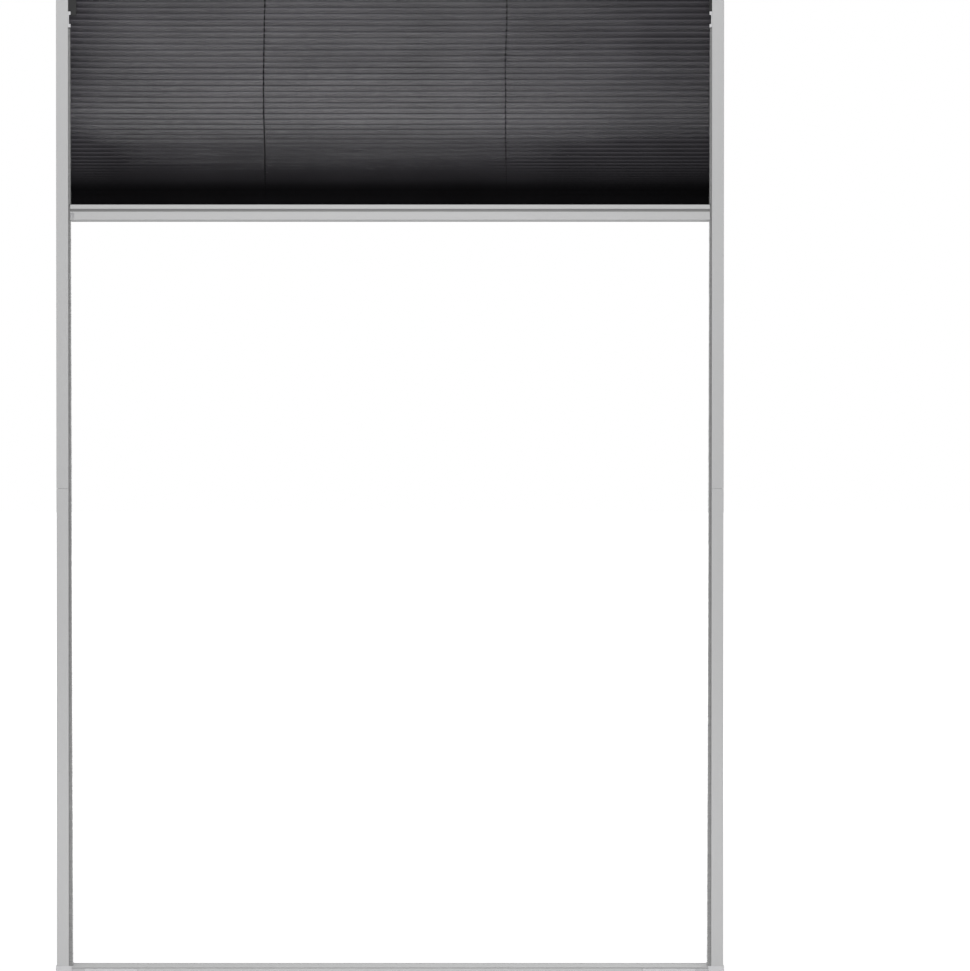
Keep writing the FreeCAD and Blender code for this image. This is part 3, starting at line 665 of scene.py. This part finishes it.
def holed(x, way, first, last):
    """Ribbons near a cord: on every panel two that meet, or stop at the hole if it is there."""
    panels = np.repeat(np.arange(first, last), len(x))
    x = np.tile(x, last - first)
    step = depths[panels + 1] - depths[panels]
    at_cord = (way.y - depths[panels]) / step
    cord_z = heights[panels] + (heights[panels + 1] - heights[panels]) * at_cord
    in_hole = np.abs(x - way.x(cord_z)) < hole + RIBBON / 2
    half = np.where(in_hole, hole / np.abs(step), 0)
    above = np.stack([panels, panels + np.clip(at_cord - half, 0, 1)], axis=-1)
    below = np.stack([panels + np.clip(at_cord + half, 0, 1), panels + 1 - 1e-6], axis=-1)
    spans = np.concatenate([above, below])
    long = spans[:, 1] - spans[:, 0] > SHORTEST
    return ribbons(spans[long], np.tile(x, 2)[long])


# %% [markdown]
# ## Hang the mesh
#
# The mesh is one cloth, but it is cut at creases into the bands of travel, each small enough to
# print and to export.

# %% Bands of the mesh
cuts = [int(np.abs(share_down - end).argmin()) for end in BAND_ENDS]
cuts[0], cuts[-1] = 0, count - 1
for number, (first, last) in enumerate(zip(cuts, cuts[1:])):
    points, faces = together(cross_threads(first, last) + pleat_threads(first, last))
    band = piece(f"mesh_band_{number + 1}", points, faces, finishes["yarn"])
    down = (heights[0] - points[:, 2]) / (heights[0] - heights[-1])
    # painted light and shade for each point: lighter on open folds, black where they are packed
    painted_fold_light = np.interp(down, FOLD_LIGHT_DOWN, FOLD_LIGHT) * np.interp(points[:, 0] / MM, FOLD_LIGHT_ACROSS, FOLD_LIGHT_SWELL)
    band.data.attributes.new("painted_fold_light", "FLOAT", "POINT").data.foreach_set("value", painted_fold_light)
    if number == 0:
        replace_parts(band, "pleated_mesh")
    shares = (share_down[first], share_down[last])
    stretch(band, ("frame", "pull_bar"), heights[0], heights[-1], shares)
    print(band.name, "creases", first, "to", last, "faces", len(band.data.polygons))

# %% [markdown]
# ## Brush seals
#
# A strip of pile is glued behind each flange of the side rails, and its bristles close the gap
# beside the mesh. Real pile is woven into a tape in tufts, with a thin film among them that stops
# draughts. Each bristle is a thin tube that leaves the tape, bends a little and ends a millimetre
# or so past the film, each at its own length. In front of the mesh the pile reaches past the
# flange by some three millimetres at the top and by five at the bottom. Where the pull bar stands
# it has been pressed back, and it keeps that set.

# %% Bristles
BRISTLE = 0.13 * MM
BRISTLE_SIDES = 3
FRONT_PILE = (0.46 * MM, 3)  # from bristle to bristle up the rail, layers
REAR_PILE = (0.6 * MM, 2)
LAYERS = (0.21 * MM, 0.455 * MM)  # the first and the last layer from the tape
ROOT = 0.6 * MM
UNEVEN = 0.25 * MM
TUFTS = 0.07 * MM
TUFT_WAVE = 90 * MM
DROOP = 0.06 * MM
TAPE = 0.45 * MM
TAPE_SHORT = 2.2 * MM
FILM = 0.06 * MM
FILM_STEP = 2 * MM
FILM_SHORT = 1.0 * MM
FILM_TONE = 0.2
FRONT_TIP_LOW = 380.4 * MM
FRONT_TIP_HIGH = 382.8 * MM
REAR_TIP = 384.9 * MM
BEHIND_PILE = 0.12 * MM
BESIDE_PILE = 0.25 * MM
PRESSED_PAST = 0.4 * MM
bar_low, bar_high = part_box("pull_bar_profile")


def brush(node, side, front):
    """Tape and bristles in place of one seal. side is -1 or 1; front says which flange."""
    low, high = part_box(node)
    root_x = max(abs(low.x), abs(high.x))
    spacing, layers = FRONT_PILE if front else REAR_PILE
    row = np.arange(low.z + spacing, high.z - spacing, spacing)
    z = np.concatenate([row + spacing * n / layers for n in range(layers)])
    near_mesh = high.y if front else low.y
    at_flange = low.y if front else high.y
    inward = np.sign(near_mesh - at_flange)
    layer = np.repeat(np.linspace(*LAYERS, layers), len(row))
    base_y = at_flange + inward * (TAPE + layer)
    tip = pile_reach(z, low, high, front) + np.abs(chance.normal(0, UNEVEN, len(z)))
    tip += waves(z, TUFT_WAVE, 6, TUFTS)
    steps = np.array([0, 0.55, 1])
    root = root_x - ROOT
    x = side * (root + (tip - root)[:, None] * steps)
    lean = chance.normal(0, UNEVEN, (len(z), 1)) * steps**2
    droop = chance.normal(0, DROOP, (len(z), 1)) * steps**2
    y = base_y[:, None] + droop
    y = np.minimum(y, bar_low.y - BEHIND_PILE) if front else y
    centres = np.stack([x, y, z[:, None] + lean], axis=-1)
    width = BRISTLE * np.array([1, 1, 0.6])[:, None]
    bristles = tubes(centres, width * [0, 1.0, 0], width * [0, 0, -float(side)], BRISTLE_SIDES)
    film_z = np.arange(low.z, high.z, FILM_STEP)
    film_x = pile_reach(film_z, low, high, front) + FILM_SHORT
    film = strip(film_z, side * root_x, side * film_x, base_y.mean(), FILM)
    tape_x = min(abs(low.x), abs(high.x)) + TAPE_SHORT
    tape_y = at_flange + inward * TAPE / 2
    tape = strip(np.array([low.z, high.z]), side * root_x, side * tape_x, tape_y, TAPE)
    name = node.replace("seal", "brush")
    seal = piece(name, *together([bristles, film, tape]), finishes["pile"])
    tone = np.full(len(seal.data.vertices), FILM_TONE)
    own_tone = chance.uniform(0, 1, len(z))
    tone[: len(bristles[0])] = np.repeat(own_tone, len(steps) * BRISTLE_SIDES)
    seal.data.attributes.new("tone", "FLOAT", "POINT").data.foreach_set("value", tone)
    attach(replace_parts(seal, node), "frame")
    return seal


def pile_reach(z, low, high, front):
    """How far from the screen's middle the shorter bristles end, for each height."""
    if not front:
        return np.full(len(z), REAR_TIP)
    reach = np.interp(z, (low.z, high.z), (FRONT_TIP_LOW, FRONT_TIP_HIGH))
    beside_bar = (z > bar_low.z - PRESSED_PAST) & (z < bar_high.z + PRESSED_PAST)
    return np.where(beside_bar, np.maximum(reach, bar_high.x + BESIDE_PILE), reach)


def strip(z, root_x, edge_x, y, thick):
    """A flat strip along a rail, from root_x to edge_x at each height."""
    edge_x = np.broadcast_to(edge_x, z.shape)
    across = (root_x + edge_x) / 2
    centres = np.stack([across, np.full(len(z), y), z], axis=-1)[None]
    half = np.abs(edge_x - root_x)[None, :, None] / math.sqrt(2)
    return tubes(centres, half * [1, 0, 0], np.array([0, thick / math.sqrt(2), 0]))


for word, side in (("left", -1), ("right", 1)):
    for face in ("front", "rear"):
        seal = brush(f"seal_{word}_{face}", side, face == "front")
        print(seal.name, len(seal.data.polygons), "faces")

# %% [markdown]
# ## Guide cords
#
# From the pleats each cord goes through the bar and down inside the opposite side rail. The runs
# that change length are drawn as bands like the mesh. A cord is a circle carried along a path,
# with UVs that run round and along it, so that the braid follows the cord.

# %% Cord runs
CORD_SIDES = 12


def braided(name, path, radius):
    """A braided tube along a path that runs up or down, with UVs for the strands."""
    heading = np.sign(path[-1, 2] - path[0, 2])
    across = np.array([radius, 0, 0])
    up = np.array([0, heading * radius, 0])
    made = piece(name, *tubes(path[None], across, up, CORD_SIDES), finishes["braid"], smooth=True)
    steps = np.linalg.norm(np.diff(path, axis=0), axis=1)
    along = np.concatenate([[0], np.cumsum(steps)]) / BRAID_LAY
    side = np.arange(CORD_SIDES) / CORD_SIDES
    places = len(path) - 1
    u = side[None, :, None] + np.array([0, 1, 1, 0]) / CORD_SIDES
    v = along[:-1, None, None] + np.diff(along)[:, None, None] * np.array([0, 0, 1, 1])
    shape = (places, CORD_SIDES, 4)
    walls = np.stack([np.broadcast_to(u, shape), np.broadcast_to(v, shape)], axis=-1)
    uv = np.zeros((len(made.data.loops), 2))
    uv[: walls.size // 2] = walls.reshape(-1, 2)
    made.data.uv_layers.new(name="braid").data.foreach_set("uv", uv.ravel())
    return made


def cord_bands(node, path, radius):
    """One run of cord from its fixed end to the bar, cut into the bands of travel."""
    for number, shares in enumerate(zip(BAND_ENDS, BAND_ENDS[1:])):
        first, last = (round(share * (len(path) - 1)) for share in shares)
        band = braided(f"{node}_{number + 1}", path[first : last + 1], radius)
        if number == 0:
            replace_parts(band, node)
        stretch(band, ("frame", "pull_bar"), path[0, 2], path[-1, 2], shares)


for word, way in ways.items():
    down = way.heights[::-1]
    upper = np.stack([way.x(down), np.full(len(down), way.y), down], axis=-1)
    cord_bands(f"cord_{word}_upper", upper, cord_radius * BRAID_SWELL)
    low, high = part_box(f"cord_{word}_lower")
    foot = np.array([(low.x + high.x) / 2, (low.y + high.y) / 2, low.z])
    lower = foot + np.linspace(0, high.z - low.z, CORD_POINTS)[:, None] * [0, 0, 1]
    cord_bands(f"cord_{word}_lower", lower, cord_radius)
print("cord runs in", len(BAND_ENDS) - 1, "bands each")

# %% [markdown]
# ## Corner screws
#
# A countersunk screw holds each side rail to its corner. Its whole skin is one surface of two
# parameters: the angle round the axis, and the way from the middle of the head over its rim and
# cone and down the shank. The cross recess pushes the head's middle in, and the thread is a
# sawtooth that climbs once each turn.

# %% Screws
HEAD_RADIUS = 2.7 * MM
HEAD_DEPTH = 1.4 * MM
SHANK_RADIUS = 1.3 * MM
SHANK_END = 4.8 * MM
POINT = 0.5 * MM
POINT_RADIUS = 0.6 * MM
PIN_RADIUS = 0.02 * MM
FACE_RINGS = 20
CONE_RINGS = 4
SHANK_RINGS = 25
AROUND = 64
THREAD_PITCH = 0.9 * MM
THREAD_DEPTH = 0.22  # of the radius
RECESS_REACH = 1.45 * MM
RECESS_WIDTH = 0.42 * MM
RECESS_DEPTH = 1.0 * MM


def screw(side, z, y):
    """Points and faces of a screw whose head lies in the side face of a rail."""
    face = np.linspace(PIN_RADIUS, HEAD_RADIUS, FACE_RINGS)
    cone = np.linspace(HEAD_RADIUS, SHANK_RADIUS, CONE_RINGS + 1)[1:]
    shank = np.full(SHANK_RINGS, SHANK_RADIUS)
    radius = np.concatenate([face, cone, shank, [POINT_RADIUS, PIN_RADIUS]])
    cone_depth = np.linspace(0, HEAD_DEPTH, CONE_RINGS + 1)[1:]
    shank_depth = np.linspace(HEAD_DEPTH, SHANK_END - POINT, SHANK_RINGS + 1)[1:]
    ends = [SHANK_END, SHANK_END]
    depth = np.concatenate([np.zeros(FACE_RINGS), cone_depth, shank_depth, ends])
    angle = np.linspace(0, 2 * math.pi, AROUND, endpoint=False)
    a = np.stack([radius[:, None] * np.cos(angle), radius[:, None] * np.sin(angle)])
    arm = np.minimum(np.abs(a[0]), np.abs(a[1]))
    far = np.hypot(*a)
    recess = soft_step(RECESS_WIDTH - arm) * soft_step(RECESS_REACH - far)
    on_face = (np.arange(len(radius)) < FACE_RINGS)[:, None]
    sunk = depth[:, None] + on_face * recess * RECESS_DEPTH
    turn = (depth[:, None] / THREAD_PITCH - angle / (2 * math.pi)) % 1
    on_shank = ((depth > HEAD_DEPTH) & (depth < SHANK_END))[:, None]
    a = a * (1 - on_shank * turn * THREAD_DEPTH)
    x = side * (cad_side - sunk)
    points = np.stack([x, y + a[0], z + side * a[1]], axis=-1)
    index = np.arange(points[..., 0].size).reshape(points.shape[:2])
    after = np.roll(index, -1, axis=1)
    quads = np.stack([index[:-1], index[1:], after[1:], after[:-1]], axis=-1)
    return points.reshape(-1, 3), [quads.reshape(-1, 4), index[:1], index[-1:, ::-1]]


def soft_step(value, width=0.12 * MM):
    """0 below zero, 1 above the width, and smooth between."""
    t = np.clip(value / width, 0, 1)
    return t * t * (3 - 2 * t)


screws_low, screws_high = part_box("corner_screws")
cad_side = screws_high.x
screw_y = (screws_low.y + screws_high.y) / 2
screw_z = screws_high.z - HEAD_RADIUS
four = [screw(side, end * screw_z, screw_y) for side in (-1, 1) for end in (-1, 1)]
points, faces = together(four)
screws = piece("screws", points, faces, finishes["screw"], smooth=True)
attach(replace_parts(screws, "corner_screws"), "frame")
print("screws:", len(screws.data.polygons), "faces")

# %% [markdown]
# ## Soften the small mouldings
#
# Clips and covers come out of their moulds with slightly rounded edges, which catch the light as
# fine lines. Their plain copies are merged, flattened to their true faces and bevelled.


# %% Rounded copies
ROUNDING = 0.2 * MM
MERGED = 0.005 * MM
FLAT = math.radians(2)
SHARP = math.radians(40)


def softened(node, finish):
    """A copy of a moulding with rounded edges, which shows in its place."""
    source = frame["nodes"][node]
    bodies = frame["record"]["behaviour"]["bodies"]
    body = next(name for name, members in bodies.items() if node in members)
    mesh = bpy.data.meshes.new(f"{node}_soft")
    shape = bmesh.new()
    shape.from_mesh(source.data)
    bmesh.ops.remove_doubles(shape, verts=shape.verts, dist=MERGED)
    bmesh.ops.dissolve_limit(shape, angle_limit=FLAT, verts=shape.verts, edges=shape.edges)
    shape.to_mesh(mesh)
    shape.free()
    mesh.materials.append(finish.material)
    made = bpy.data.objects.new(f"{node}_soft", mesh)
    bpy.context.scene.collection.objects.link(made)
    bevel = made.modifiers.new("rounding", "BEVEL")
    bevel.width = ROUNDING
    bevel.segments = 2
    bevel.limit_method = "ANGLE"
    bevel.angle_limit = SHARP
    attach(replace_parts(made, node), body)


for word in ("left", "right"):
    softened(f"seal_clip_{word}", finishes["corner"])
    softened(f"head_clip_{word}", finishes["black"])
    softened(f"tensioner_cover_{word}", finishes["corner"])

# %% [markdown]
# ## Floor and daylight
#
# The screen stands on a pale studio floor in front of a white surround. The surround is white to
# the camera and in reflections, and softer for the light it gives, so that the pale metal keeps
# its own grey. To the camera the floor glows a little: near the screen it still shows the shadow,
# and further out it fades into the white.

# %% Floor and surround
FLOOR_HALF = 30.0
FLOOR_DROP = 0.2 * MM
GLOW = 1.3
NEAR_SHARE = 0.6
NEAR = 0.6
FAR = 2.4
SOFT_LIGHT = 0.5
corners = np.array([[-1, -1, 0], [1, -1, 0], [1, 1, 0], [-1, 1, 0]]) * FLOOR_HALF
corners[:, 2] = cad_low.z - FLOOR_DROP
pale = Finish("pale_floor", "", (0.86, 0.86, 0.86), 0.7)
floor = piece("floor", corners, [np.array([[0, 1, 2, 3]])], pale)
output = next(n for n in pale.nodes if n.type == "OUTPUT_MATERIAL")
glow = pale.node("Emission", {"Color": (1, 1, 1, 1), "Strength": GLOW})
away = pale.node("VectorMath", {0: pale.place()}, output="Value", operation="LENGTH")
fade = pale.ramp(away, NEAR, FAR, NEAR_SHARE, 1.0)
seen = pale.node("LightPath", {}, output="Is Camera Ray") * fade
both = pale.node("MixShader", {0: seen, 1: Wire(pale, pale.shader.outputs[0]), 2: glow})
pale.feed(output.inputs["Surface"], both)

world = bpy.data.worlds.new("studio")
bpy.context.scene.world = world
world.use_nodes = True
sky = world.node_tree
background = next(n for n in sky.nodes if n.type == "BACKGROUND")
ray = sky.nodes.new("ShaderNodeLightPath")
white_for = ray.outputs["Is Camera Ray"]
for kind in ("Is Glossy Ray", "Is Transmission Ray"):
    either = sky.nodes.new("ShaderNodeMath")
    either.operation = "MAXIMUM"
    sky.links.new(white_for, either.inputs[0])
    sky.links.new(ray.outputs[kind], either.inputs[1])
    white_for = either.outputs[0]
level = sky.nodes.new("ShaderNodeMapRange")
level.inputs["To Min"].default_value = SOFT_LIGHT
sky.links.new(white_for, level.inputs["Value"])
sky.links.new(level.outputs[0], background.inputs["Strength"])
background.inputs["Color"].default_value = (1, 1, 1, 1)


# %% [markdown]
# ## Lamps
#
# A broad lamp stands in front of the screen. Two long, low-powered ones close to its upper and
# lower ends make the rails a little brighter there than in the middle, as in the photograph. One
# behind keeps the back from going flat.


# %% Area lamps
def lamp(name, place, width, height, aim, power):
    """An area lamp at a place, aimed at a height on the screen's middle line."""
    data = bpy.data.lights.new(name, "AREA")
    data.shape = "RECTANGLE"
    data.size = width
    data.size_y = height
    data.energy = power
    made = bpy.data.objects.new(name, data)
    bpy.context.scene.collection.objects.link(made)
    made.location = place
    towards = Vector((0, 0, aim)) - made.location
    made.rotation_euler = towards.to_track_quat("-Z", "Y").to_euler()


lamp("front_lamp", (0, -2.6, 0.3), 0.8, 0.8, 0, 19.5)
lamp("top_lamp", (0, -0.4, 1.0), 1.2, 0.3, 0.62, 2.1)
lamp("bottom_lamp", (0, -0.5, -0.5), 1.2, 0.2, -0.6, 0.8)
lamp("rear_lamp", (0.6, 2.6, 1.6), 1.6, 1.6, 0, 14)

# %% [markdown]
# ## Camera
#
# The photograph was taken square on, from a little over three metres, with the screen left of the
# picture's middle. One pixel is 1.2 mm of the screen's front. A shifted lens keeps the rails
# upright, and half a degree of tilt gives the slight widening towards the top.

# %% Camera
DISTANCE = 3.2
PIXEL = 1.2 * MM
PICTURE = 970
SCREEN_COLUMN = 390.15
SCREEN_ROW = 478.1
TILT = math.radians(0.49)
camera_data = bpy.data.cameras.new("camera")
camera = bpy.data.objects.new("camera", camera_data)
bpy.context.scene.collection.objects.link(camera)
bpy.context.scene.camera = camera
camera_data.sensor_width = 36
camera_data.lens = camera_data.sensor_width * DISTANCE / (PICTURE * PIXEL)
camera_data.shift_x = 0.5 - SCREEN_COLUMN / PICTURE
centre_z = (SCREEN_ROW - (PICTURE + 1) / 2) * PIXEL
camera.location = (0, cad_low.y - DISTANCE, centre_z + DISTANCE * math.tan(TILT))
camera.rotation_euler = (math.pi / 2 - TILT, 0, 0)

# %% View
bpy.context.scene.view_settings.view_transform = "Standard"
bpy.context.view_layer.update()
